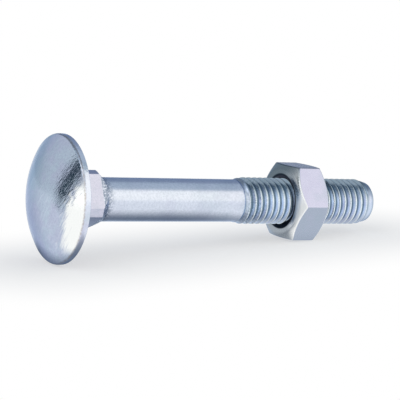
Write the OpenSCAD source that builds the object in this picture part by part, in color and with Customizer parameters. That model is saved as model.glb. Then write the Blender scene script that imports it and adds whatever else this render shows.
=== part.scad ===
// Mushroom-head square-neck bolt, with a hexagon nut run part of the way along its thread.
// It lies as it comes to rest on a table: on the rim of its head and on one flat of its nut.
// Each piece is first shaped upright, its axis on Z, the underside of the head at zero and the
// tip pointing up, and then laid down by rest_on_table().

/* [Head] */
// Diameter of the mushroom head
head_d = 31.6; // [26:0.2:36]
// Height of the head, from its underside to the top of the dome
head_h = 6.6; // [5:0.1:9]
// Height of the straight rim under the dome
rim_h = 1.5; // [0.6:0.1:3]

/* [Square neck] */
// Width of the square neck across its flats
neck_w = 12; // [11:0.1:13.6]
// Length of the neck's full corners
neck_h = 8; // [5:0.25:12]
// How much farther than the corners the flat sides run
flats_lead = 0.3; // [0.1:0.1:1]
// How far the rounded corners fall short of a sharp square's corners
neck_corner_cut = 1.05; // [0.3:0.05:1.4]
// Length of the cone that brings the neck's corners down to the shank
neck_runout = 2.2; // [1:0.1:4]
// Length of the slopes that bring the neck's flats down to the shank
neck_taper = 2.6; // [1:0.1:4]
// Turn of the neck's flats from the nut's lower flat
neck_turn = -27; // [-45:1:45]

/* [Shank and thread] */
// Length of the bolt from the underside of its head to its tip
bolt_length = 90; // [80:1:120]
// Outside diameter of the thread
thread_d = 12; // [11:0.1:12.6]
// Distance between two turns of the thread
thread_pitch = 1.75; // [1.25:0.25:2]
// Length of the thread, measured back from the tip
thread_length = 42; // [34:1:46]
// Number of turns over which the thread rises from the shank to its full height
runout_turns = 2; // [1:0.5:3]
// Length of the tapered tip
tip_h = 3.2; // [1:0.1:4]
// How far the tip tapers in from the outside of the thread
tip_cut = 0.85; // [0.4:0.05:1.4]

/* [Nut] */
// Width of the nut across its flats
nut_flats = 19; // [17:0.5:21]
// Height of the nut
nut_h = 9; // [7:0.1:11]
// Distance from the underside of the head to the nut's near face
nut_place = 63.4; // [56:0.1:68]
// How far the round faces of the nut fall short of its flats
nut_face_cut = 0.8; // [0.2:0.05:1]
// Angle of the chamfer on the nut's corners
nut_chamfer = 30; // [20:1:35]
// Gap all round between the thread and the bore of the nut
thread_play = 0.05; // [0.02:0.01:0.1]
// How much wider the mouths of the bore are than the bore, on each side
mouth_cut = 0.9; // [0.3:0.05:1.2]

/* [Hidden] */
$fn = 96;

// Head: a dome cut from one sphere, on a straight rim
head_r = head_d / 2;
dome_h = head_h - rim_h;
dome_r = (head_r * head_r + dome_h * dome_h) / (2 * dome_h);

// Shank: a rolled thread starts from a blank of about its pitch diameter
thread_r = thread_d / 2;
shank_r = thread_r - 0.325 * thread_pitch;
thread_start = bolt_length - thread_length;
thread_full = thread_start + runout_turns * thread_pitch;
tip_r = thread_r - tip_cut;

// Thread: the corners of one turn of the standard profile, each as its share of the pitch and its
// share of the groove's depth. The last turn before the tip stays plain.
groove_depth = 0.5413 * thread_pitch;
groove_corners = [[0, 1], [5 / 16, 0], [7 / 16, 0], [3 / 4, 1]];
turns = floor(thread_length / thread_pitch) - 1;

// Neck: the cone and the flats' slopes go on a little way inside the shank, so that the solids cross
neck_corner_r = neck_w / sqrt(2) - neck_corner_cut;
neck_sunk = 0.5;
neck_in_r = shank_r - neck_sunk;
cone_end = neck_h + neck_runout * (neck_corner_r - neck_in_r) / (neck_corner_r - shank_r);
flats_end = neck_h + flats_lead;
slope_end = flats_end + neck_taper * (neck_w / 2 - neck_in_r) / (neck_w / 2 - shank_r);

// Nut: the chamfer is a cone that cuts the hexagon's corners
nut_corner_r = nut_flats / sqrt(3);
nut_face_r = nut_flats / 2 - nut_face_cut;
chamfer_reach = nut_corner_r - nut_face_r + 0.5;
chamfer_h = chamfer_reach * tan(nut_chamfer);
bore_r = thread_r + thread_play;
mouth_r = bore_r + mouth_cut;
mouth_h = mouth_cut * tan(30);

// Rest: each point that could touch the table, as its distance along the axis and its radius.
// The first to touch as the tip comes down sets the tilt.
nut_edge = nut_place + nut_h - nut_face_cut * tan(nut_chamfer);
touch_points = [
    [nut_edge, nut_flats / 2],
    [bolt_length - tip_h, thread_r],
    [bolt_length, tip_r]
];
rest_tilt = min([for (p = touch_points) atan((head_r - p[1]) / p[0])]);
rest_height = head_r * cos(rest_tilt);
dome_end_x = (dome_r - head_h) * cos(rest_tilt) - dome_r;
tip_end_x = bolt_length * cos(rest_tilt) + tip_r * sin(rest_tilt);
middle_x = (dome_end_x + tip_end_x) / 2;

zinc_head = [0.66, 0.71, 0.76];
zinc_nut = [0.76, 0.78, 0.84];

module rest_on_table() {
    translate([-middle_x, 0, rest_height])
        rotate([0, 90 + rest_tilt, 0])
            children();
}

module head() {
    intersection() {
        translate([0, 0, dome_r - head_h])
            sphere(r = dome_r);
        translate([0, 0, -head_h - 1])
            cylinder(r = head_r, h = head_h + 1);
    }
}

// The neck seen square on: straight, then down to the shank in two slopes
module neck_side() {
    rotate([90, 0, 0])
        linear_extrude(height = neck_w, center = true)
            polygon([
                [-neck_w / 2, -rim_h / 2],
                [neck_w / 2, -rim_h / 2],
                [neck_w / 2, flats_end],
                [neck_in_r, slope_end],
                [-neck_in_r, slope_end],
                [-neck_w / 2, flats_end]
            ]);
}

// Two side views at right angles make a square bar with a tapered end. Turning it down rounds its
// corners with a cylinder and runs them out with a cone.
module neck() {
    intersection() {
        rotate([0, 0, neck_turn])
            neck_side();
        rotate([0, 0, neck_turn + 90])
            neck_side();
        rotate_extrude()
            polygon([
                [0, -rim_h / 2],
                [neck_corner_r, -rim_h / 2],
                [neck_corner_r, neck_h],
                [neck_in_r, cone_end],
                [0, cone_end]
            ]);
    }
}

// Outside of the bar at a height, before its thread is rolled
function skin_r(z) = thread_r - tip_cut * max(0, z - bolt_length + tip_h) / tip_h;

// A corner of one turn. Over the run-out, crests rise and grooves sink from the shank together.
function groove_point(turn, corner) =
    let(
        z = thread_start + (turn + corner[0]) * thread_pitch,
        rise = min(1, (z - thread_start) / (thread_full - thread_start)),
        r = shank_r + rise * (thread_r - groove_depth * corner[1] - shank_r)
    )
        [min(r, skin_r(z)), z];

// The plain shank, the thread and the tapered tip, in one profile. Each turn of the thread is a ring
// of its true depth and form, so that the solid keeps exact surfaces; the climb is left out.
module shaft() {
    thread_end = thread_start + turns * thread_pitch;
    rotate_extrude()
        polygon(concat(
            [[0, -rim_h / 2], [shank_r, -rim_h / 2]],
            [for (turn = [0 : turns - 1], corner = groove_corners) groove_point(turn, corner)],
            [[skin_r(thread_end), thread_end], [tip_r, bolt_length], [0, bolt_length]]
        ));
}

module nut_blank() {
    intersection() {
        rotate([0, 0, 30])
            cylinder(r = nut_corner_r, h = nut_h, $fn = 6);
        rotate_extrude()
            polygon([
                [0, 0],
                [nut_face_r, 0],
                [nut_face_r + chamfer_reach, chamfer_h],
                [nut_face_r + chamfer_reach, nut_h - chamfer_h],
                [nut_face_r, nut_h],
                [0, nut_h]
            ]);
    }
}

// The bore with its two conical mouths, as one solid to take away from the nut
module nut_bore() {
    rotate_extrude()
        polygon([
            [0, -1],
            [mouth_r + tan(60), -1],
            [bore_r, mouth_h],
            [bore_r, nut_h - mouth_h],
            [mouth_r + tan(60), nut_h + 1],
            [0, nut_h + 1]
        ]);
}

module bolt() {
    color(zinc_head)
        rest_on_table()
            union() {
                head();
                neck();
                shaft();
            }
}

module hex_nut() {
    color(zinc_nut)
        rest_on_table()
            translate([0, 0, nut_place])
                difference() {
                    nut_blank();
                    nut_bore();
                }
}

bolt();
hex_nut();
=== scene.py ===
# %% [markdown]
# # A carriage bolt and its nut
# A carriage bolt is made from one length of steel wire. Its mushroom head and its square neck are
# forged, its thread is rolled, and the whole bolt is then plated with zinc. The nut is a piece of its
# own: cold-formed, tapped, and plated in the same way.
#
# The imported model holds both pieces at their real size, as solids whose thread is a stack of plain
# rings. This script loads them as a fixed frame and puts two finished meshes in their place, on which the
# thread winds.

# %% Load the frame
from math import asin, atan, cos, degrees, hypot, pi, radians, sin, sqrt, tan, tau

import bmesh
import bpy
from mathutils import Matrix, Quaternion, Vector


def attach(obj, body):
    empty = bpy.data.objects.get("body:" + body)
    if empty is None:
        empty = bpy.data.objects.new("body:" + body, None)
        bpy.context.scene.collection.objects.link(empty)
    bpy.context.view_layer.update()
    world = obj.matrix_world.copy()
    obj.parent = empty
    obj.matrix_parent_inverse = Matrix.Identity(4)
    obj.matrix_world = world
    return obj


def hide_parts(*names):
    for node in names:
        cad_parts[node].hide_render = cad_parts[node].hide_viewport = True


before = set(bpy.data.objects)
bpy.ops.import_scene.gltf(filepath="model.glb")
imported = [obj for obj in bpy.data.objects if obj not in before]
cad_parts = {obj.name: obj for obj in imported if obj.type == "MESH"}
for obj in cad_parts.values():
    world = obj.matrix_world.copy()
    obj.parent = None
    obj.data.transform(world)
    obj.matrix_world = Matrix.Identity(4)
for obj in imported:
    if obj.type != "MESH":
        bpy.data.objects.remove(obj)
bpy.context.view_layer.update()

# %% [markdown]
# ## Sizes
# Blender works in metres here, and a bolt is drawn in millimetres, so each size is a plain number of
# millimetres times MM. The sizes repeat those of the solids. The coarse 12 mm thread sets the scale:
# its pitch is 1.75 mm, and the depth of its groove follows from that pitch. The shank is as thick as the
# thread is about halfway down the groove, since the metal that is pressed out of the grooves rises
# between them.

# %% Sizes of the bolt and the nut
MM = 0.001
HEAD_R = 31.6 * MM / 2
HEAD_H = 6.6 * MM
RIM_H = 1.5 * MM
NECK_W = 12 * MM
NECK_H = 8 * MM
NECK_CORNER_CUT = 1.05 * MM
FLATS_LEAD = 0.3 * MM
NECK_RUNOUT = 2.2 * MM
NECK_TAPER = 2.6 * MM
NECK_TURN = radians(-27)
BOLT_LENGTH = 90 * MM
THREAD_R = 12 * MM / 2
PITCH = 1.75 * MM
THREAD_LENGTH = 42 * MM
RUNOUT_TURNS = 2
TIP_H = 3.2 * MM
TIP_CUT = 0.85 * MM
NUT_FLATS = 19 * MM
NUT_H = 9 * MM
NUT_PLACE = 63.4 * MM
NUT_FACE_CUT = 0.8 * MM
NUT_CHAMFER = radians(30)
THREAD_PLAY = 0.05 * MM
MOUTH_CUT = 0.9 * MM
print("length under the head:", round(BOLT_LENGTH / MM, 2), "mm, pitch:", round(PITCH / MM, 2), "mm")

# %% Sizes that follow from them
DOME_H = HEAD_H - RIM_H
DOME_R = (HEAD_R**2 + DOME_H**2) / (2 * DOME_H)
SHANK_R = THREAD_R - 0.325 * PITCH
THREAD_START = BOLT_LENGTH - THREAD_LENGTH
THREAD_FULL = THREAD_START + RUNOUT_TURNS * PITCH
TIP_R = THREAD_R - TIP_CUT
NECK_CORNER_R = NECK_W / sqrt(2) - NECK_CORNER_CUT
NUT_CORNER_R = NUT_FLATS / sqrt(3)
NUT_FACE_R = NUT_FLATS / 2 - NUT_FACE_CUT
MOUTH_R = THREAD_R + THREAD_PLAY + MOUTH_CUT
print("radius of the dome:", round(DOME_R / MM, 2), "mm, radius of the shank:", round(SHANK_R / MM, 2), "mm")

# %% [markdown]
# ## Upright on the bench, then laid down
# Turned parts are easiest to shape upright, with their axis on Z. So both pieces are modelled that
# way, the underside of the head at zero and the tip pointing up. At the end they are laid down as the
# bolt comes to rest on a table: on the rim of its head and on the lower flat of its nut. The tilt
# follows from how far the head stands out beyond the nut.

# %% The turn that lays a piece down
NUT_EDGE = NUT_PLACE + NUT_H - NUT_FACE_CUT * tan(NUT_CHAMFER)
TILT = atan((HEAD_R - NUT_FLATS / 2) / NUT_EDGE)
DOME_END_X = (DOME_R - HEAD_H) * cos(TILT) - DOME_R
TIP_END_X = BOLT_LENGTH * cos(TILT) + TIP_R * sin(TILT)
REST_PLACE = Vector((-(DOME_END_X + TIP_END_X) / 2, 0, HEAD_R * cos(TILT)))
REST_TURN = (0, radians(90) + TILT, 0)
print("tilt of the lying bolt:", round(degrees(TILT), 2), "degrees")


# %% Taking up a piece and laying it down
def clear_selection():
    """Leaves edit mode and selects nothing, so that the next operator meets only what it is given."""
    if bpy.context.mode != "OBJECT":
        bpy.ops.object.mode_set(mode="OBJECT")
    bpy.ops.object.select_all(action="DESELECT")


def take_up(piece):
    """Makes the piece the only selected object, and the active one."""
    clear_selection()
    piece.select_set(True)
    bpy.context.view_layer.objects.active = piece


def lay_down(piece):
    """Turns an upright piece to where it rests, and writes that place into its mesh."""
    take_up(piece)
    piece.rotation_euler = REST_TURN
    piece.location = REST_PLACE
    bpy.ops.object.transform_apply(location=True, rotation=True, scale=True)


# %% [markdown]
# ## Drawing and spinning a profile
# A lathe part is one line turned about an axis. The line is drawn the way it is drawn by hand: one
# point, extruded to the next, again and again. The Spin operator then carries it round the axis. Where
# both ends of the line lie on the axis, the doubles that Spin leaves there are merged, the poles close,
# and the faces are turned outwards.

# %% Drawing a profile
def draw_profile(name, points):
    """An open line through (radius, height) points in the XZ plane."""
    clear_selection()
    radius, height = points[0]
    bpy.ops.mesh.primitive_plane_add(size=MM, location=(radius, 0, height))
    line = bpy.context.active_object
    line.name = name
    bpy.ops.object.transform_apply(location=True, rotation=False, scale=False)
    bpy.ops.object.mode_set(mode="EDIT")
    bpy.ops.mesh.select_mode(type="VERT")
    bpy.ops.mesh.select_all(action="SELECT")
    bpy.ops.mesh.merge(type="CENTER")
    for (r0, z0), (r1, z1) in zip(points, points[1:]):
        bpy.ops.mesh.extrude_vertices_move(TRANSFORM_OT_translate={"value": (r1 - r0, 0, z1 - z0)})
    bpy.ops.object.mode_set(mode="OBJECT")
    return line


# %% Spinning it
SAME_POINT = 0.0005 * MM
ROUND_STEPS = 96


def spin_profile(line, steps=ROUND_STEPS):
    """Turns a profile that starts and ends on the axis into a closed solid."""
    take_up(line)
    bpy.ops.object.mode_set(mode="EDIT")
    bpy.ops.mesh.select_all(action="SELECT")
    bpy.ops.mesh.spin(steps=steps, angle=tau, center=(0, 0, 0), axis=(0, 0, 1))
    bpy.ops.mesh.select_all(action="SELECT")
    bpy.ops.mesh.remove_doubles(threshold=SAME_POINT)
    bpy.ops.mesh.normals_make_consistent(inside=False)
    bpy.ops.object.mode_set(mode="OBJECT")
    return line


# %% [markdown]
# ## Soft edges and closed solids
# No edge of a real part is quite sharp, and a sharp edge catches no light. The Bevel operator rounds the
# edges that are selected, so a test picks them, such as one for the edges of a ring. Solids that are to be
# joined or cut must be closed, so the edges that don't have two faces are counted at each step.

# %% Bevelling edges
ON_RING = 0.01 * MM


def bevel_edges(piece, belongs, width, segments):
    """Rounds the edges for which belongs(edge) is true, with a number of narrow faces."""
    take_up(piece)
    bpy.ops.object.mode_set(mode="EDIT")
    bpy.ops.mesh.select_mode(type="EDGE")
    bpy.ops.mesh.select_all(action="DESELECT")
    mesh = bmesh.from_edit_mesh(piece.data)
    for edge in mesh.edges:
        if belongs(edge):
            edge.select = True
    bmesh.update_edit_mesh(piece.data)
    bpy.ops.mesh.bevel(offset=width, segments=segments, affect="EDGES", clamp_overlap=True)
    bpy.ops.object.mode_set(mode="OBJECT")


def ring_at(radius, height):
    """A test for the edges of the ring of that radius and height."""
    def belongs(edge):
        return all(
            abs(hypot(v.co.x, v.co.y) - radius) < ON_RING and abs(v.co.z - height) < ON_RING
            for v in edge.verts
        )
    return belongs


# %% Counting open edges
def open_edges(piece):
    """Counts the edges that don't have two faces, which a closed solid has none of."""
    mesh = bmesh.new()
    mesh.from_mesh(piece.data)
    count = sum(1 for edge in mesh.edges if len(edge.link_faces) != 2)
    mesh.free()
    return count


# %% [markdown]
# ## The mushroom head
# The head is pressed into a die: a shallow dome above a short straight rim. It could be a squashed
# sphere, but the true form is a cap cut from a large sphere, so the dome is drawn as one arc and spun.
# The press leaves a soft crease where the dome meets the rim, and a sharper one at the back, so each of
# the two round edges is bevelled by its own width.

# %% Head
DOME_STEPS = 26
CREASE = 0.45 * MM
BACK_EDGE = 0.18 * MM

dome_angle = asin(HEAD_R / DOME_R)
dome_angles = [dome_angle * step / DOME_STEPS for step in range(DOME_STEPS + 1)]
dome_arc = [(DOME_R * sin(angle), DOME_R - HEAD_H - DOME_R * cos(angle)) for angle in dome_angles]
head = spin_profile(draw_profile("plated_bolt", dome_arc + [(HEAD_R, 0), (0, 0)]))
bevel_edges(head, ring_at(HEAD_R, -RIM_H), CREASE, segments=5)
bevel_edges(head, ring_at(HEAD_R, 0), BACK_EDGE, segments=3)
print("head:", len(head.data.polygons), "faces, open edges:", open_edges(head))

# %% [markdown]
# ## Joining, cutting and crossing
# The Boolean modifier joins two closed solids, cuts one with the other, or keeps only what they share. Its
# Manifold solver is the one for closed solids, and leaves the result closed.

# %% Combining two solids
def combine(piece, tool, operation):
    """Joins, cuts or crosses two closed solids and removes the second."""
    take_up(piece)
    change = piece.modifiers.new("change", "BOOLEAN")
    change.operation = operation
    change.solver = "MANIFOLD"
    change.object = tool
    bpy.ops.object.modifier_apply(modifier=change.name)
    bpy.data.objects.remove(tool)
    return piece


# %% [markdown]
# ## The square neck
# The neck bites into the wood and keeps the bolt from turning. It is square, its corners are rounded by
# the round wire that it was pressed from, and at its end each flat side slopes down to the shank. Where
# two such forms meet, the edges are curves that would be hard to draw. They come by themselves when a
# square bar with a tapered end is crossed with a turned blank, as on a lathe.

# %% Square bar with a tapered end
NECK_SINK = 0.5 * MM
neck_in_r = SHANK_R - NECK_SINK
flats_end = NECK_H + FLATS_LEAD
cone_end = NECK_H + NECK_RUNOUT * (NECK_CORNER_R - neck_in_r) / (NECK_CORNER_R - SHANK_R)
slope_end = flats_end + NECK_TAPER * (NECK_W / 2 - neck_in_r) / (NECK_W / 2 - SHANK_R)

clear_selection()
bpy.ops.mesh.primitive_cube_add(
    size=1,
    location=(0, 0, (flats_end - NECK_SINK) / 2),
    scale=(NECK_W, NECK_W, flats_end + NECK_SINK),
)
neck = bpy.context.active_object
neck.name = "neck"
bpy.ops.object.transform_apply(location=True, rotation=True, scale=True)
bpy.ops.object.mode_set(mode="EDIT")
bpy.ops.mesh.select_mode(type="FACE")
bpy.ops.mesh.select_all(action="DESELECT")
neck_mesh = bmesh.from_edit_mesh(neck.data)
for face in neck_mesh.faces:
    face.select = face.normal.z > 0.5
bmesh.update_edit_mesh(neck.data)
bpy.ops.mesh.extrude_region_move(TRANSFORM_OT_translate={"value": (0, 0, slope_end - flats_end)})
bpy.ops.transform.resize(value=(2 * neck_in_r / NECK_W, 2 * neck_in_r / NECK_W, 1))
bpy.ops.object.mode_set(mode="OBJECT")
neck.rotation_euler = (0, 0, NECK_TURN)
bpy.ops.object.transform_apply(location=True, rotation=True, scale=True)
print("square bar:", len(neck.data.polygons), "faces, open edges:", open_edges(neck))

# %% Neck
turned_blank = spin_profile(draw_profile("turned_blank", [
    (0, -NECK_SINK),
    (NECK_CORNER_R, -NECK_SINK),
    (NECK_CORNER_R, NECK_H),
    (neck_in_r, cone_end),
    (0, cone_end),
]), steps=4 * ROUND_STEPS)
combine(neck, turned_blank, "INTERSECT")
print("neck:", len(neck.data.polygons), "faces, open edges:", open_edges(neck))

# %% [markdown]
# ## The rolled thread
# A thread is a groove that winds round the bar. Rings would look nearly the same from one side, but the
# groove has to climb one pitch in each turn, to the right, or no nut would go on. The Screw modifier
# does that: it carries the outline of one pitch round the axis and lifts it by one pitch in each turn,
# so each turn of the strip joins the next.
#
# The outline is the standard one. Its flanks stand 60 degrees apart, its crest is an eighth of a pitch
# wide, and its root is an arc.

# %% The outline of one pitch
FLANK = radians(30)
CREST_HALF = PITCH / 16
ROOT_ROUND = 0.144 * PITCH
CREST_ROUND = 0.1 * MM
ROOT_ARC_STEPS = 6
CREST_ARC_STEPS = 3


def pitch_outline(crest_r):
    """(radius, height) points from the middle of one crest to the middle of the next."""
    apex = crest_r - (PITCH / 2 - CREST_HALF) / tan(FLANK)
    root_centre = apex + ROOT_ROUND / sin(FLANK)
    widest = pi / 2 - FLANK
    corner_centre = CREST_HALF - CREST_ROUND * tan(widest / 2)
    crest_arc = [widest * step / CREST_ARC_STEPS for step in range(CREST_ARC_STEPS + 1)]
    root_arc = [widest * (2 * step / ROOT_ARC_STEPS - 1) for step in range(ROOT_ARC_STEPS + 1)]
    down = [(crest_r - CREST_ROUND * (1 - cos(a)), corner_centre + CREST_ROUND * sin(a)) for a in crest_arc]
    root = [(root_centre - ROOT_ROUND * cos(a), PITCH / 2 + ROOT_ROUND * sin(a)) for a in root_arc]
    up = [(radius, PITCH - height) for radius, height in reversed(down)]
    return [(crest_r, 0)] + down + root + up + [(crest_r, PITCH)]


# %% Winding it
GROOVE_STEPS = 96


def wind(name, outline, start, turns):
    """A helical strip: the outline goes round and rises one pitch in each turn."""
    strip = draw_profile(name, [(radius, start + height) for radius, height in outline])
    take_up(strip)
    screw = strip.modifiers.new("screw", "SCREW")
    screw.axis = "Z"
    screw.angle = tau
    screw.screw_offset = PITCH
    screw.iterations = turns
    screw.steps = GROOVE_STEPS
    screw.render_steps = GROOVE_STEPS
    bpy.ops.object.modifier_apply(modifier=screw.name)
    bpy.ops.object.mode_set(mode="EDIT")
    bpy.ops.mesh.select_all(action="SELECT")
    bpy.ops.mesh.remove_doubles(threshold=SAME_POINT)
    bpy.ops.object.mode_set(mode="OBJECT")
    return strip


# %% Cutting it off
def cut_level(piece, height, clear_below=False, clear_above=False, fill=False):
    """Cuts the whole mesh at one height."""
    take_up(piece)
    bpy.ops.object.mode_set(mode="EDIT")
    bpy.ops.mesh.select_all(action="SELECT")
    bpy.ops.mesh.bisect(
        plane_co=(0, 0, height),
        plane_no=(0, 0, 1),
        clear_inner=clear_below,
        clear_outer=clear_above,
        use_fill=fill,
        threshold=SAME_POINT,
    )
    bpy.ops.object.mode_set(mode="OBJECT")


# %% [markdown]
# ## Shank and thread in one mesh
# A rolled thread starts from a bar of its middle diameter: the dies press the grooves in and the metal
# rises between them. So at the shank the crests climb and the roots sink together over two turns, and at
# the tip the bar was tapered first and the last groove runs out on the taper. No operator fades a groove
# like that, so here the points of the wound strip are moved in code, each along its own radius.
#
# The strip is then cut off at both ends. At the shank its edge is a plain circle by now, and it is
# extruded down into the head.

# %% How the grooves fade
TIP_ROUND = 0.35 * MM
LAST_GROOVE = 2.6 * MM
GROOVE_END = 0.9 * MM


def share(value, start, end):
    """How far value has come from start to end, eased, from 0 to 1."""
    part = min(1, max(0, (value - start) / (end - start)))
    return part * part * (3 - 2 * part)


def skin_radius(height):
    """The radius of the bar before rolling near the tip: a taper with a rounded end."""
    taper = THREAD_R - TIP_CUT * max(0, height - (BOLT_LENGTH - TIP_H)) / TIP_H
    into_round = min(TIP_ROUND, max(0, height - (BOLT_LENGTH - TIP_ROUND)))
    return taper - (TIP_ROUND - sqrt(TIP_ROUND**2 - into_round**2))


def shape_thread(strip):
    """Fades the grooves in at the shank, and out on the taper of the tip."""
    for vertex in strip.data.vertices:
        x, y, height = vertex.co
        radius = hypot(x, y)
        rise = share(height, THREAD_START, THREAD_FULL)
        wanted = SHANK_R + (radius - SHANK_R) * rise
        skin = skin_radius(height)
        depth = max(0, skin - wanted)
        depth *= 1 - share(height, BOLT_LENGTH - LAST_GROOVE, BOLT_LENGTH - GROOVE_END)
        if height > BOLT_LENGTH - TIP_H:
            wanted = skin - depth
        vertex.co.x = x * wanted / radius
        vertex.co.y = y * wanted / radius


# %% Shank and thread
PHASE = 0.35
TURNS_BEFORE = 3
TURNS_AFTER = 2
TIP_RINGS = 4
SHANK_FOOT = -1.0 * MM

winding_start = THREAD_START - (TURNS_BEFORE + PHASE) * PITCH
winding_turns = int((BOLT_LENGTH - winding_start) / PITCH) + TURNS_AFTER
shaft = wind("shaft", pitch_outline(THREAD_R), winding_start, winding_turns)
for ring in range(TIP_RINGS):
    cut_level(shaft, BOLT_LENGTH - TIP_ROUND * (1 - sin(pi / 2 * ring / TIP_RINGS)))
shape_thread(shaft)
cut_level(shaft, BOLT_LENGTH, clear_above=True, fill=True)
cut_level(shaft, THREAD_START - PITCH, clear_below=True)

take_up(shaft)
bpy.ops.object.mode_set(mode="EDIT")
bpy.ops.mesh.select_mode(type="EDGE")
bpy.ops.mesh.select_all(action="DESELECT")
bpy.ops.mesh.select_non_manifold()
bpy.ops.mesh.extrude_region_move(
    TRANSFORM_OT_translate={"value": (0, 0, SHANK_FOOT - (THREAD_START - PITCH))}
)
bpy.ops.mesh.edge_face_add()
bpy.ops.mesh.select_all(action="SELECT")
bpy.ops.mesh.normals_make_consistent(inside=False)
bpy.ops.object.mode_set(mode="OBJECT")
print("shaft:", len(shaft.data.polygons), "faces, open edges:", open_edges(shaft))

# %% [markdown]
# ## One forging
# Head, neck and shaft are one piece of metal, so they become one closed mesh. Joining them as loose
# shells would leave walls inside. A union removes what lies inside and keeps the outer skin.

# %% Union of the bolt
bolt = combine(head, neck, "UNION")
bolt = combine(bolt, shaft, "UNION")
print("bolt:", len(bolt.data.polygons), "faces, open edges:", open_edges(bolt))

# %% [markdown]
# ## The nut
# The nut starts as a hexagon: a cylinder of six sides. Its corners are chamfered at 30 degrees on both
# faces, which leaves an arched edge on each flat. As with the neck, that arch comes from crossing the
# hexagon with a turned blank. The bore is then cut by a tool that is itself a thread, a little larger than
# the bolt's and wound in the same phase, so that the two mesh with a small gap all round. A cone opens each
# mouth of the bore. Tumbling with other nuts has worn the edges: most of all the round one between face and
# chamfer, which is bevelled twice as wide as the others.

# %% Chamfered hexagon
CHAMFER_REACH = NUT_CORNER_R - NUT_FACE_R + 0.5 * MM
CHAMFER_H = CHAMFER_REACH * tan(NUT_CHAMFER)
NUT_FACE_ROUND = 0.6 * MM
NUT_EDGE_ROUND = 0.3 * MM
BLUNT = radians(20)

clear_selection()
bpy.ops.mesh.primitive_cylinder_add(
    vertices=6, radius=NUT_CORNER_R, depth=NUT_H, location=(0, 0, NUT_PLACE + NUT_H / 2)
)
nut = bpy.context.active_object
nut.name = "plated_nut"
bpy.ops.object.transform_apply(location=True, rotation=True, scale=True)
chamfer_blank = spin_profile(draw_profile("chamfer_blank", [
    (0, NUT_PLACE),
    (NUT_FACE_R, NUT_PLACE),
    (NUT_FACE_R + CHAMFER_REACH, NUT_PLACE + CHAMFER_H),
    (NUT_FACE_R + CHAMFER_REACH, NUT_PLACE + NUT_H - CHAMFER_H),
    (NUT_FACE_R, NUT_PLACE + NUT_H),
    (0, NUT_PLACE + NUT_H),
]))
combine(nut, chamfer_blank, "INTERSECT")
for face_height in (NUT_PLACE, NUT_PLACE + NUT_H):
    bevel_edges(nut, ring_at(NUT_FACE_R, face_height), NUT_FACE_ROUND, segments=5)
bevel_edges(nut, lambda edge: edge.calc_face_angle() > BLUNT, NUT_EDGE_ROUND, segments=4)
print("nut blank:", len(nut.data.polygons), "faces, open edges:", open_edges(nut))

# %% Bore and mouths
BORE_MINOR_R = THREAD_R - 0.5 * PITCH
TAP_OVER = 2 * MM
TAP_TURNS_BELOW = 3
TAP_TURNS = int(NUT_H / PITCH) + 7
MOUTH_SLOPE = tan(radians(30))

groove_outline = pitch_outline(THREAD_R + THREAD_PLAY)
tap_outline = [(max(radius, BORE_MINOR_R), height) for radius, height in groove_outline]
first_turn = int((NUT_PLACE - winding_start) / PITCH) - TAP_TURNS_BELOW
tap = wind("tap", tap_outline, winding_start + first_turn * PITCH, TAP_TURNS)
cut_level(tap, NUT_PLACE - TAP_OVER, clear_below=True, fill=True)
cut_level(tap, NUT_PLACE + NUT_H + TAP_OVER, clear_above=True, fill=True)
take_up(tap)
bpy.ops.object.mode_set(mode="EDIT")
bpy.ops.mesh.select_all(action="SELECT")
bpy.ops.mesh.normals_make_consistent(inside=False)
bpy.ops.object.mode_set(mode="OBJECT")
print("tap:", len(tap.data.polygons), "faces, open edges:", open_edges(tap))
combine(nut, tap, "DIFFERENCE")

for face_height, outward in ((NUT_PLACE, -1), (NUT_PLACE + NUT_H, 1)):
    mouth = spin_profile(draw_profile("mouth", [
        (0, face_height - outward * MOUTH_R * MOUTH_SLOPE),
        (MOUTH_R + MM, face_height + outward * MM * MOUTH_SLOPE),
        (0, face_height + outward * MM * MOUTH_SLOPE),
    ]))
    combine(nut, mouth, "DIFFERENCE")
print("nut:", len(nut.data.polygons), "faces, open edges:", open_edges(nut))

# %% [markdown]
# ## Smooth and flat
# Where two surfaces cross at a slant, a union or a cut leaves slivers finer than a thousandth of a
# millimetre. Merging points that lie so close together removes them.
#
# Round surfaces are shaded smooth, and an edge stays sharp where its faces meet at more than 35 degrees.
# On the nut's flats the small bevels would still bend the light, so a Weighted Normal modifier lets the
# largest face at each corner decide.

# %% Shading, and into place
SLIVER = 0.001 * MM
SHARP = radians(35)
for piece in (bolt, nut):
    take_up(piece)
    bpy.ops.object.mode_set(mode="EDIT")
    bpy.ops.mesh.select_all(action="SELECT")
    bpy.ops.mesh.remove_doubles(threshold=SLIVER)
    bpy.ops.object.mode_set(mode="OBJECT")
    print(piece.name, "has", len(piece.data.polygons), "faces, open edges:", open_edges(piece))
    bpy.ops.object.shade_smooth_by_angle(angle=SHARP)
    weighted = piece.modifiers.new("weighted", "WEIGHTED_NORMAL")
    weighted.mode = "FACE_AREA_WITH_ANGLE"
    weighted.keep_sharp = True
    bpy.ops.object.modifier_apply(modifier=weighted.name)
    lay_down(piece)

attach(bolt, "bolt")
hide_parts("bolt")
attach(nut, "nut")
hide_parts("hex_nut")

# %% [markdown]
# ## Writing a finish as a formula
# A finish is a node tree, and most of its nodes only do sums. The small class below wraps one output
# socket, so that a mask can be written as a formula in Python: 1 - mask adds a Math node by itself. Every
# other node comes from its node() method, which takes the kind of node, its settings, and the values or
# wires of its inputs.

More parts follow.
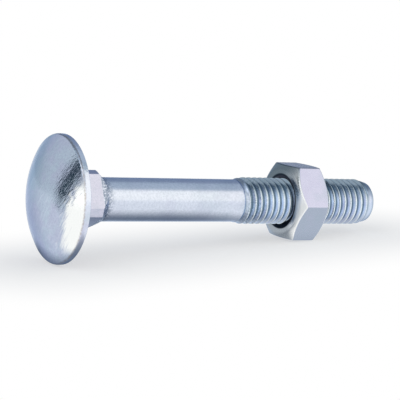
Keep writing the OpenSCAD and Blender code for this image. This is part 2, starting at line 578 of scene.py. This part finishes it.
# %% A wire of a node tree
class Wire:
    """One output socket of a node tree."""

    def __init__(self, tree, socket=None):
        self.tree = tree
        self.socket = socket

    def node(self, kind, settings=None, inputs=None, output=0):
        """Adds a node, sets it up, feeds it, and returns the wire of one of its outputs."""
        made = self.tree.nodes.new(kind)
        for name, value in (settings or {}).items():
            setattr(made, name, value)
        for name, value in (inputs or {}).items():
            if isinstance(value, Wire):
                self.tree.links.new(value.socket, made.inputs[name])
            else:
                made.inputs[name].default_value = value
        return None if output is None else Wire(self.tree, made.outputs[output])

    def sibling(self, output):
        """Another output of the node that this wire comes from."""
        return Wire(self.tree, self.socket.node.outputs[output])

    def math(self, operation, other=None, swapped=False):
        """A Math node on this wire, and on another wire or number."""
        pair = [self] if other is None else [other, self] if swapped else [self, other]
        return self.node("ShaderNodeMath", {"operation": operation}, dict(enumerate(pair)))

    def __add__(self, other):
        return self.math("ADD", other)

    __radd__ = __add__

    def __sub__(self, other):
        return self.math("SUBTRACT", other)

    def __rsub__(self, other):
        return self.math("SUBTRACT", other, swapped=True)

    def __mul__(self, other):
        return self.math("MULTIPLY", other)

    __rmul__ = __mul__

    def between(self, low, high):
        """0 up to low, 1 from high on, and eased in between."""
        return self.node(
            "ShaderNodeMapRange",
            {"interpolation_type": "SMOOTHSTEP"},
            {"Value": self, "From Min": low, "From Max": high},
        )

    def paint(self, under, over):
        """The colour over where this wire is 1, and the colour under where it is 0."""
        return self.node("ShaderNodeMix", {"data_type": "RGBA"}, {0: self, 6: under, 7: over}, output=2)


# %% [markdown]
# ## Coordinates that lie with the bolt
# The patterns of a bolt follow its axis, and the bolt lies tilted on the table. A Mapping node of the
# Texture kind undoes the turn and the shift that laid it down. So z is again the height above the
# underside of the head, and the distance from the axis tells a crest from a root. On the bench, -x is the
# side that comes to lie on top, and -y is the front.

# %% Coordinates
def upright_point(tree):
    """A wire with the point of the piece as it stood on the bench, in millimetres."""
    place = Wire(tree).node("ShaderNodeTexCoord", output="Object")
    upright = place.node(
        "ShaderNodeMapping",
        {"vector_type": "TEXTURE"},
        {"Vector": place, "Location": REST_PLACE, "Rotation": REST_TURN},
    )
    return upright.node("ShaderNodeVectorMath", {"operation": "SCALE"}, {0: upright, "Scale": 1 / MM})


def parts_of(point):
    """The x, y and z of a point, each as a wire."""
    x = point.node("ShaderNodeSeparateXYZ", inputs={"Vector": point})
    return x, x.sibling("Y"), x.sibling("Z")


def flat_length(x, y):
    """How far the point (x, y) is from the middle."""
    return (x * x + y * y).math("SQRT")


# %% [markdown]
# ## Noise
# Nothing that was drawn, plated or rubbed is quite even. A noise texture gives smooth hills between 0 and
# 1. Where an axis of the point is multiplied by less than the others, the hills are drawn out along it,
# which makes streaks or rings. Turning the point first turns the streaks.

# %% Noise and relief
def stretched(point, scale):
    """The point multiplied by a scale for each axis."""
    return point.node("ShaderNodeVectorMath", {"operation": "MULTIPLY"}, {0: point, 1: scale})


def turned(point, angle):
    """The point turned about the bolt's axis."""
    about_z = {"rotation_type": "Z_AXIS"}
    return point.node("ShaderNodeVectorRotate", about_z, {"Vector": point, "Angle": angle})


def noise(point, scale, detail=2.0, roughness=0.5):
    """Smooth noise from 0 to 1 with that many waves in a millimetre."""
    inputs = {"Vector": point, "Scale": scale, "Detail": detail, "Roughness": roughness}
    return point.node("ShaderNodeTexNoise", inputs=inputs)


def bumped(height, distance):
    """A normal with a relief of that height in metres on it."""
    return height.node("ShaderNodeBump", inputs={"Height": height, "Strength": 1.0, "Distance": distance})


# %% [markdown]
# ## Blue-white zinc
# At the end, bright zinc plating is dipped in a bath that leaves a clear film, thinner than a wave of light.
# The film tints the metal: steel-blue in most places, with drifts of teal and lavender. Each drift comes from
# its own slow noise, mixed over the tint before. A near-white tint is kept for a painted reflection of a
# window. Seen at a slant, metal takes on another tint, which the shader calls Specular Tint.

# %% Tints of the film
BLUE_ZINC = (0.41, 0.47, 0.58, 1)
PALE_ZINC = (0.71, 0.77, 0.89, 1)
NECK_ZINC = (0.63, 0.64, 0.77, 1)
EDGE_ZINC = (0.66, 0.76, 0.90, 1)
TEAL_FILM = (0.34, 0.47, 0.53, 1)
LAVENDER_FILM = (0.50, 0.49, 0.68, 1)
DOME_WINDOW_REFLECTION = (0.94, 0.96, 0.95, 1)


def drifts(point, base, strength):
    """The base colour under slow drifts of teal and lavender."""
    teal = noise(point, 0.13, detail=3.0).between(0.48, 0.66)
    lavender = noise(stretched(point, (1, 1, -1)), 0.16, detail=3.0).between(0.46, 0.64)
    return (lavender * strength).paint((teal * strength).paint(base, TEAL_FILM), LAVENDER_FILM)


# %% Start and end of a finish
def plated(name):
    """A metal with nothing on it yet: its material, its node tree and its shader."""
    material = bpy.data.materials.new(name)
    material.use_nodes = True
    shader = material.node_tree.nodes["Principled BSDF"]
    shader.inputs["Metallic"].default_value = 1.0
    shader.inputs["Specular Tint"].default_value = EDGE_ZINC
    return material, material.node_tree, shader


def connect(shader, colour, roughness, normal):
    """Joins the finished wires to the shader."""
    for name, wire in (("Base Color", colour), ("Roughness", roughness), ("Normal", normal)):
        wire.tree.links.new(wire.socket, shader.inputs[name])


# %% [markdown]
# ## Layers of wear
# Wear lies on a finish in layers, each a mask and a tint. The mask says where the layer is, and how much
# of it, from 0 to 1. All the layers of one part of the bolt are kept within the mask of that part. The
# edge of a mask is soft: it is written as a band, the two measures in millimetres between which the mask
# goes from 0 to 1.

# %% Layers
def layered(colour, within, layers):
    """The colour under layers of (mask, tint), the lowest layer first, all kept within one mask."""
    for mask, tint in layers:
        colour = (within * mask).paint(colour, tint)
    return colour


# %% [markdown]
# ## Painted light and shade on the dome
# On the dome, light and shade are painted into the colour: a painted shade on the upper far side and a
# painted light towards the front. A haze lies low on the far side, the press left fine streaks, some of them
# light, and low on the front a near-white patch is painted as the reflection of a window. The streaks also
# make the edge of that painted reflection ragged.

# %% Painted light, shade, reflection and wear of the dome
DOME_PAINTED_LIGHT = (0.49, 0.59, 0.70, 1)
DOME_PAINTED_SHADE = (0.29, 0.39, 0.49, 1)
HAZE = (0.34, 0.35, 0.50, 1)
DOME_LIGHT_START_Y = (-13.0, -9.5)
DOME_LIGHT_END_Y = (-6.0, 4.0)
DOME_SHADE_START_Y = (0.0, 5.5)
DOME_SHADE_END_X = (-5.0, 1.0)
HAZE_START_X = (-3.0, 5.0)
HAZE_START_Y = (-5.0, 3.0)
LIGHT_STREAKS = (0.52, 0.70)
REFLECTION_TURN = radians(-73.2)
REFLECTION_START = (9.9, 12.3)
REFLECTION_RAGGED = 7.5
REFLECTION_START_X = (-8.0, -4.0)
REFLECTION_END_X = (9.5, 12.5)


def light_and_shade_on_dome(x, y):
    """The dome's blue with a painted light towards the front and a painted shade on the upper far side."""
    # Painted light on a band towards the front, and painted shade on the upper far side.
    lit_front = (1 - y.between(*DOME_LIGHT_END_Y)) * y.between(*DOME_LIGHT_START_Y)
    shaded_far_top = y.between(*DOME_SHADE_START_Y) * (1 - x.between(*DOME_SHADE_END_X))
    return shaded_far_top.paint(lit_front.paint(BLUE_ZINC, DOME_PAINTED_LIGHT), DOME_PAINTED_SHADE)


def wear_and_reflection_of_dome(x, y, streaks, mottled):
    """The layers on the dome: a haze, light streaks, and a near-white painted reflection."""
    haze = 0.6 * x.between(*HAZE_START_X) * y.between(*HAZE_START_Y) + 0.3 * mottled
    light_streaks = 0.2 * streaks.between(*LIGHT_STREAKS)
    # A near-white patch low on the front: a painted reflection of the left window, with a ragged edge.
    towards_reflection = x * cos(REFLECTION_TURN) + y * sin(REFLECTION_TURN)
    painted_reflection = (towards_reflection + REFLECTION_RAGGED * (streaks - 0.5)).between(*REFLECTION_START)
    painted_reflection = painted_reflection * x.between(*REFLECTION_START_X) * (1 - x.between(*REFLECTION_END_X))
    return [(haze, HAZE), (light_streaks, PALE_ZINC), (painted_reflection, DOME_WINDOW_REFLECTION)]


# %% [markdown]
# ## Wear and painted shade of the thread
# In a thread the roots are painted dark as shade, because little light finds its way in and out of a groove,
# and the rolled crests are rubbed bright. Along the top the thread is painted dark too, a painted shade, and
# its first turns are torn.

# %% Wear and painted shade of the thread
VALLEY = (0.19, 0.28, 0.34, 1)
CREST = (0.86, 0.93, 0.98, 1)
ROOT_END = (THREAD_R / MM - 0.95, THREAD_R / MM - 0.5)
CREST_START = (THREAD_R / MM - 0.25, THREAD_R / MM - 0.05)
CREST_SPOTS = (0.30, 0.48)
SHADED_TOP_END_X = (-5.2, -0.6)
TORN_END = (THREAD_START / MM + 5, THREAD_START / MM + 10)
TORN_SPOTS = (0.50, 0.60)


def wear_and_shade_of_thread(x, height, radius, pits):
    """The layers on the thread: painted shade in the roots and along the top, bright crests and torn turns.
    """
    # The roots are painted dark: painted shade in the grooves.
    roots = 0.85 * (1 - radius.between(*ROOT_END))
    crests = radius.between(*CREST_START) * pits.between(*CREST_SPOTS)
    # The top of the thread is painted dark: painted shade.
    shaded_top = 0.7 * (1 - x.between(*SHADED_TOP_END_X))
    torn = 0.6 * (1 - height.between(*TORN_END)) * pits.between(*TORN_SPOTS)
    return [(roots, VALLEY), (crests, CREST), (shaded_top, VALLEY), (torn, VALLEY)]


# %% [markdown]
# ## The parts of the bolt
# All of the bolt has the same film, but each part was shaped in its own way, and that shows. The parts
# follow one another along the axis, so bands of height tell them apart, and one material can hold them
# all.

# %% Masks of the parts
HEAD_END = (-0.2, 0.2)
DOME_END = (-1.7, -1.4)
CREASE_START = (-1.8, -1.55)
CREASE_END = (-1.4, -1.2)
NECK_END = (flats_end / MM - 0.1, flats_end / MM + 0.1)


def parts_of_bolt(height):
    """The masks of the head, its dome, its crease, the neck and the thread."""
    on_head = 1 - height.between(*HEAD_END)
    on_dome = 1 - height.between(*DOME_END)
    on_crease = height.between(*CREASE_START) * (1 - height.between(*CREASE_END))
    on_neck = (1 - on_head) * (1 - height.between(*NECK_END))
    on_thread = height.between(THREAD_START / MM, THREAD_FULL / MM)
    return on_head, on_dome, on_crease, on_neck, on_thread


# %% [markdown]
# ## The finish of the bolt
# The bar between head and thread is finely mottled, and has faint rings from drawing the wire. Where the
# neck ends the die scuffed it. The crease round the dome is worn brown in spots.

# %% Finish of the bolt
THREAD_ZINC = (0.68, 0.78, 0.95, 1)
WORN_CREASE = (0.42, 0.36, 0.32, 1)
SCUFFED = (0.25, 0.31, 0.40, 1)
SCUFF_START = (flats_end / MM - 0.1, flats_end / MM + 0.2)
SCUFF_END = (10.0, 12.2)
STREAK_TURN = radians(-35)


def finish_bolt():
    """The material of the whole bolt."""
    material, tree, shader = plated("zinc_on_bolt")
    point = upright_point(tree)
    x, y, height = parts_of(point)
    on_head, on_dome, on_crease, on_neck, on_thread = parts_of_bolt(height)
    on_bar = (1 - on_head) * (1 - on_thread)

    grain = noise(point, 3.0, detail=4.0, roughness=0.65)
    pits = noise(point, 1.7, detail=5.0, roughness=0.7)
    mottled = pits.between(0.40, 0.62)
    rings = noise(stretched(point, (0.15, 0.15, 2.5)), 1.0, detail=3.0, roughness=0.6)
    along_streaks = stretched(turned(point, STREAK_TURN), (0.12, 1.7, 1.7))
    streaks = noise(along_streaks, 1.0, detail=4.0, roughness=0.6)
    scuff = height.between(*SCUFF_START) * (1 - height.between(*SCUFF_END)) * pits.between(0.42, 0.55)

    bar = on_neck.paint(PALE_ZINC, NECK_ZINC)
    colour = on_dome.paint(on_thread.paint(bar, THREAD_ZINC), light_and_shade_on_dome(x, y))
    colour = drifts(point, colour, 0.4 - 0.25 * on_bar)
    colour = layered(colour, on_bar, [(0.25 * mottled, BLUE_ZINC), (0.85 * scuff, SCUFFED)])
    colour = layered(colour, on_dome, wear_and_reflection_of_dome(x, y, streaks, mottled))
    colour = layered(colour, on_crease, [(0.6 * pits.between(0.35, 0.60), WORN_CREASE)])
    colour = layered(colour, on_thread, wear_and_shade_of_thread(x, height, flat_length(x, y), pits))
    roughness = 0.07 + 0.12 * on_bar + 0.08 * grain + 0.14 * on_thread + 0.15 * scuff
    relief = 3.5 * on_head * streaks + (1 - on_head) * (0.5 * rings + 0.5 * grain) + 1.5 * scuff
    connect(shader, colour, roughness, bumped(relief, 0.016 * MM))
    return material


# %% [markdown]
# ## The turned parts of the nut, and their painted light and shade
# The two round faces of the nut and their chamfers were turned on a lathe. A point belongs to them when it
# lies right under the cone of the chamfer, or under the flat inside it. They are painted dark as shade on the
# upper far side and at the bottom. At the front the chamfers and the face beside them are painted near-white
# as a highlight, and there the surface is rougher. In the mouth of the thread the colour is painted
# near-black as the shade in the bore, and the surface is rough.

# %% Turned parts of the nut
NUT_MIDDLE = (NUT_PLACE + NUT_H / 2) / MM
TURNED_END = (0.12, 0.20)
FACE_END = (NUT_FACE_R / MM - 0.1, NUT_FACE_R / MM + 0.1)


def turned_parts(height, radius):
    """The masks of the round faces and of the chamfers."""
    below_face = NUT_H / 2 / MM - (height - NUT_MIDDLE).math("ABSOLUTE")
    below_cone = below_face - (radius - NUT_FACE_R / MM).math("MAXIMUM", 0.0) * tan(NUT_CHAMFER)
    on_lathe = 1 - below_cone.between(*TURNED_END)
    beyond_face = radius.between(*FACE_END)
    return on_lathe * (1 - beyond_face), on_lathe * beyond_face


# %% Painted shade and highlight on the nut
TURNED_FACE = (0.62, 0.66, 0.71, 1)
FACE_PAINTED_SHADE = (0.14, 0.18, 0.21, 1)
NUT_PAINTED_HIGHLIGHT = (0.96, 0.98, 0.98, 1)
MOUTH_SHADE = (0.015, 0.025, 0.045, 1)
MOUTH_END = (MOUTH_R / MM + 0.05, MOUTH_R / MM + 0.45)
MOUTH_TOP_X = (-6.0, -3.0)
FACE_SHADE_END = (-7.0, 7.0)
LOW_SHADE_START_X = (2.5, 7.0)
FRONT_EDGE_Y = (-6.5, -4.0)
BRIGHT_FRONT_END_Y = (-8.0, -6.8)
BRIGHT_FRONT_START_X = (-3.0, 0.0)


def mouth_of_nut(x, radius):
    """The mask of the painted shade in the mouth, a little paler at its top."""
    return (1 - radius.between(*MOUTH_END)) * (0.85 + 0.15 * x.between(*MOUTH_TOP_X))


def bright_front(x, y):
    """The mask of the front of the nut, painted near-white as a highlight and made rougher."""
    return (1 - y.between(*BRIGHT_FRONT_END_Y)) * x.between(*BRIGHT_FRONT_START_X)


def light_and_shade_of_nut(x, y, shade_wobble):
    """The layers of painted shade and painted highlight on the turned parts."""
    # Painted shade on the upper far side, with a wobbly edge, and on the low side.
    shaded_upper_far = 1 - (0.8 * x - y + 3.0 * (shade_wobble - 0.5)).between(*FACE_SHADE_END)
    shaded_low_side = 0.5 * x.between(*LOW_SHADE_START_X) * y.between(*FRONT_EDGE_Y)
    # Painted shade first, then the painted highlight on the front.
    return [(shaded_upper_far.math("MAXIMUM", shaded_low_side), FACE_PAINTED_SHADE), (bright_front(x, y), NUT_PAINTED_HIGHLIGHT)]


# %% [markdown]
# ## The finish of the nut
# The nut was sheared and pressed from bar, so its flats carry a fine even grain. Its upper flats are paler
# than the head of the bolt. The lower flats are painted as blue as the head, a painted shade, and the top one
# grey, a painted reflection of the dark ceiling. The lathe left faint rings on its faces, so there the relief
# takes a noise of the radius alone.

# %% Finish of the nut
NUT_ZINC = (0.61, 0.62, 0.79, 1)
NUT_TOP_REFLECTION = (0.50, 0.49, 0.54, 1)
NUT_TOP_END = (0.05 - NUT_FLATS / 2 / MM, 0.3 - NUT_FLATS / 2 / MM)
NUT_LOWER_SHADE_START = (-0.2, 0.2)


def finish_nut():
    """The material of the nut."""
    material, tree, shader = plated("zinc_on_nut")
    point = upright_point(tree)
    x, y, height = parts_of(point)
    radius = flat_length(x, y)
    on_face, on_chamfer = turned_parts(height, radius)
    on_lathe = on_face + on_chamfer
    in_mouth = mouth_of_nut(x, radius)

    grain = noise(point, 3.5, detail=4.0, roughness=0.65)
    shade_wobble = noise(point, 0.2, detail=2.0)
    rings = noise(radius.node("ShaderNodeCombineXYZ", inputs={"X": radius}), 4.0, detail=3.0)

    # Lower flats painted blue as shade, and the top flat grey as a painted reflection of the dark ceiling.
    flats = x.between(*NUT_TOP_END).paint(NUT_TOP_REFLECTION, x.between(*NUT_LOWER_SHADE_START).paint(NUT_ZINC, BLUE_ZINC))
    colour = on_face.paint(drifts(point, flats, 0.2), TURNED_FACE)
    # The chamfers are painted near-white at the front: a painted highlight.
    colour = on_chamfer.paint(colour, y.between(*FRONT_EDGE_Y).paint(NUT_PAINTED_HIGHLIGHT, TURNED_FACE))
    colour = layered(colour, on_lathe, light_and_shade_of_nut(x, y, shade_wobble))
    # The mouth of the bore is painted near-black: painted shade.
    colour = in_mouth.paint(colour, MOUTH_SHADE)
    roughness = 0.18 + 0.16 * grain + 0.25 * on_lathe * bright_front(x, y) + 0.5 * in_mouth
    connect(shader, colour, roughness, bumped(grain + on_face * rings, 0.02 * MM))
    return material


# %% Both finishes put on
for piece, finish in ((bolt, finish_bolt()), (nut, finish_nut())):
    piece.data.materials.clear()
    piece.data.materials.append(finish)
    print(piece.name, "has", len(finish.node_tree.nodes), "shader nodes")

# %% [markdown]
# ## Floor
# The floor is white paper. Close to the bolt the eye sees it half as plain paper, which keeps the bolt's
# shadow, and half as an even glowing white. Farther out it is all white, for a clean background. The metal
# mirrors it as that white everywhere, and to all other light it is plain paper. The Light Path node tells
# these rays apart.
#
# Right under the bolt the floor lies in shade, and the metal mirrors it as a dark edge along its underside.
# A glowing floor has no shade of its own, so it is painted back for the mirrored rays: wide under the head,
# narrow and pale towards the tip. Farther to the left a dark card is painted for the mirrored rays alone, a
# painted reflection at the foot of a dark flag that hangs in the room, and it lengthens that flag's mirror
# image. Its sides fan out from the head, so they are written as slopes.

# %% Shade that the metal mirrors
SHADE = (0.20, 0.23, 0.28, 1)
SHADE_HALF_WIDTH = 18 * MM
TIP_HALF_WIDTH = 9 * MM
TIP_PALER = 0.5
SHADE_START = (-50 * MM, -43 * MM)
SHADE_NARROWS = (-8 * MM, 22 * MM)
SHADE_END = (50 * MM, 60 * MM)
HEAD_SHADE = 10 * MM
HEAD_SHADE_END = (-39 * MM, -34 * MM)
CARD_REFLECTION_FROM = (110 * MM, 150 * MM)
CARD_REFLECTION_LEFT = (0.29, 0.34)
CARD_REFLECTION_RIGHT = (0.47, 0.52)


def floor_shade(x, y):
    """1 in the middle of the painted shade and of the painted card, 0 on the white floor."""
    wider = HEAD_SHADE * (1 - x.between(*HEAD_SHADE_END))
    towards_tip = x.between(*SHADE_NARROWS)
    half_width = SHADE_HALF_WIDTH - (SHADE_HALF_WIDTH - TIP_HALF_WIDTH) * towards_tip
    across = 1 - (y.math("ABSOLUTE") - wider).math("DIVIDE", half_width).between(0.0, 1.0)
    shade = across * x.between(*SHADE_START) * (1 - x.between(*SHADE_END)) * (1 - TIP_PALER * towards_tip)
    from_head = -BOLT_LENGTH / 2 - x
    slope = y.math("DIVIDE", from_head)
    # The card is painted for the mirrored rays alone: a painted reflection.
    card_reflection = from_head.between(*CARD_REFLECTION_FROM) * slope.between(*CARD_REFLECTION_LEFT) * (1 - slope.between(*CARD_REFLECTION_RIGHT))
    return shade.math("MAXIMUM", card_reflection)


# %% Kinds of ray
def kinds_of_ray(wire):
    """Two wires: 1 for the rays of the eye, and 1 for the rays that metal or glass sends on."""
    seen = wire.node("ShaderNodeLightPath")
    sent_on = seen.sibling("Is Glossy Ray").math("MAXIMUM", seen.sibling("Is Transmission Ray"))
    return seen, sent_on


# %% Floor
FLOOR_SIZE = 12.0
WHITE = (1, 1, 1, 1)
PAPER = (0.94, 0.94, 0.94, 1)
WHITE_NEAR = 0.5
WHITE_AT = 45 * MM

clear_selection()
bpy.ops.mesh.primitive_plane_add(size=FLOOR_SIZE, location=(0, 0, 0))
floor = bpy.context.active_object
floor.name = "floor"
paper = bpy.data.materials.new("paper")
paper.use_nodes = True
paper.node_tree.nodes.clear()
place = Wire(paper.node_tree).node("ShaderNodeTexCoord", output="Object")
x, y = parts_of(place)[:2]
away = flat_length((x.math("ABSOLUTE") - BOLT_LENGTH / 2).math("MAXIMUM", 0.0), y)
seen_ray, mirrored_ray = kinds_of_ray(away)
glow_tint = (floor_shade(x, y) * mirrored_ray).paint(WHITE, SHADE)
glow = away.node("ShaderNodeEmission", inputs={"Color": glow_tint})
matt = away.node("ShaderNodeBsdfDiffuse", inputs={"Color": PAPER})
white_share = seen_ray * (WHITE_NEAR + (1 - WHITE_NEAR) * away.between(0.0, WHITE_AT))
white_share = white_share.math("MAXIMUM", mirrored_ray)
surface = away.node("ShaderNodeMixShader", inputs={0: white_share, 1: matt, 2: glow})
away.node("ShaderNodeOutputMaterial", inputs={"Surface": surface}, output=None)
floor.data.materials.append(paper)
print("floor:", FLOOR_SIZE, "m wide,", len(paper.node_tree.nodes), "shader nodes")

# %% [markdown]
# ## Camera
# A long lens from less than half a metre away gives the flat perspective of a product picture. The camera
# looks down by ten degrees and stands a third of the way round towards the head, so that the dome shows
# as an oval and the thread runs away to the right.

# %% Camera
AIM = Vector((-2.84, 0, 12.38)) * MM
AZIMUTH = radians(-30.86)
ELEVATION = radians(9.98)
ROLL = radians(0.68)
DISTANCE = 416.5 * MM
LENS = 148.4


def towards(azimuth, elevation):
    """The direction at an azimuth, which is 0 towards -Y and 90 degrees towards +X."""
    return Vector((sin(azimuth) * cos(elevation), -cos(azimuth) * cos(elevation), sin(elevation)))


clear_selection()
bpy.ops.object.camera_add(location=AIM + towards(AZIMUTH, ELEVATION) * DISTANCE)
camera = bpy.context.active_object
camera.rotation_mode = "QUATERNION"
camera.rotation_quaternion = (
    towards(AZIMUTH, ELEVATION).to_track_quat("Z", "Y") @ Quaternion((0, 0, 1), ROLL)
)
camera.data.lens = LENS
camera.data.clip_start = 10 * MM
bpy.context.scene.camera = camera
bpy.context.scene.view_settings.view_transform = "Standard"
print("camera:", LENS, "mm lens,", round(DISTANCE / MM), "mm from the bolt")

# %% [markdown]
# ## The room that the metal mirrors
# Bright metal has hardly any colour of its own: it shows what stands around it. So the studio is painted
# on the world, as soft patches of light on darker walls. A patch is bright where the direction lies close
# to its middle, and the dot product of the two directions tells how close that is. A patch is written as
# four angles in degrees: its azimuth, its elevation, and the inner and the outer angle of its soft edge.

# %% Patches and stripes of the sky
world = bpy.data.worlds.new("studio")
bpy.context.scene.world = world
world.use_nodes = True
world.node_tree.nodes.clear()
direction = Wire(world.node_tree).node("ShaderNodeTexCoord", output="Generated")
up = parts_of(direction)[2]


def along(axis):
    """How far the direction points along an axis: 1 right along it, 0 square to it."""
    dot = {"operation": "DOT_PRODUCT"}
    return direction.node("ShaderNodeVectorMath", dot, {0: direction, 1: axis}, output="Value")


def patch(azimuth, elevation, inner, outer):
    """A round patch of the sky: 1 within the inner angle, 0 beyond the outer one, in degrees."""
    middle = towards(radians(azimuth), radians(elevation))
    return along(middle).between(cos(radians(outer)), cos(radians(inner)))


def strip(first, second, half_width, softness):
    """A stripe through two directions of the sky, each an azimuth and an elevation."""
    side = towards(*map(radians, first)).cross(towards(*map(radians, second))).normalized()
    off = along(side).math("ABSOLUTE")
    return 1 - off.between(sin(radians(half_width)), sin(radians(half_width + softness)))


# %% [markdown]
# ## Windows, walls and a flag
# The room is pale all round. A wide window, of two patches, reaches from behind the camera to the right
# and gives the bright band along the shank. A smaller one on the left gives the white side of the dome.
# The back wall and the ceiling are darker, and show along the tops of the shank and the thread. A narrow
# dark flag hangs beside the left window, and its mirror image is the ragged streak across the dome. A
# soft lamp high on the left throws the shadow. Below the horizon, the eye and the metal see only white,
# as if the floor went on.

# %% Walls, windows, flag and lamp
ROOM = (0.80, 0.82, 0.84, 1)
BACK_WALL = (0.28, 0.33, 0.43, 1)
UPPER_WALL = (0.48, 0.55, 0.63, 1)
CEILING = (0.26, 0.30, 0.35, 1)
WINDOW = (1.0, 0.97, 0.91, 1)
FLAG = (0.03, 0.06, 0.08, 1)
DARK_PATCHES = [
    ((-140, 78, 28, 40), CEILING),
    ((140, 38, 26, 42), BACK_WALL),
    ((84, 58, 14, 28), UPPER_WALL),
    ((172, 42, 14, 22), CEILING),
]
WINDOW_RIGHT = (34, 8, 36, 42)
WINDOW_MIDDLE = (-32, 8, 20, 30)
WINDOW_LEFT = (-82, -4, 16, 24)
FLAG_FOOT = (-114, -8)
FLAG_TOP = (-99, 40)
FLAG_AREA = (-105, 15, 28, 34)
FLAG_HALF_WIDTH = 7.0
FLAG_SOFTNESS = 1.2
LAMP = (-84, 54, 12, 26)
LAMP_POWER = 1.3
WINDOW_POWER = 0.22
SIDE_WINDOW_POWER = 0.12
HORIZON = (0.01, 0.04)
print("dark patches:", len(DARK_PATCHES))

# %% World
walls = ROOM
for angles, tint in DARK_PATCHES:
    walls = patch(*angles).paint(walls, tint)
window = patch(*WINDOW_RIGHT).math("MAXIMUM", patch(*WINDOW_MIDDLE))
side_window = patch(*WINDOW_LEFT)
flag = strip(FLAG_FOOT, FLAG_TOP, FLAG_HALF_WIDTH, FLAG_SOFTNESS) * patch(*FLAG_AREA)
room = flag.paint(side_window.paint(window.paint(walls, WINDOW), WHITE), FLAG)
seen_ray, mirrored_ray = kinds_of_ray(direction)
below_horizon = seen_ray.math("MAXIMUM", mirrored_ray) * (1 - up.between(*HORIZON))
room = below_horizon.paint(room, WHITE)
power = 1 + LAMP_POWER * patch(*LAMP) + WINDOW_POWER * window + SIDE_WINDOW_POWER * side_window
glow = room.node("ShaderNodeBackground", inputs={"Color": room, "Strength": power})
glow.node("ShaderNodeOutputWorld", inputs={"Surface": glow}, output=None)
print("room:", len(world.node_tree.nodes), "world nodes")
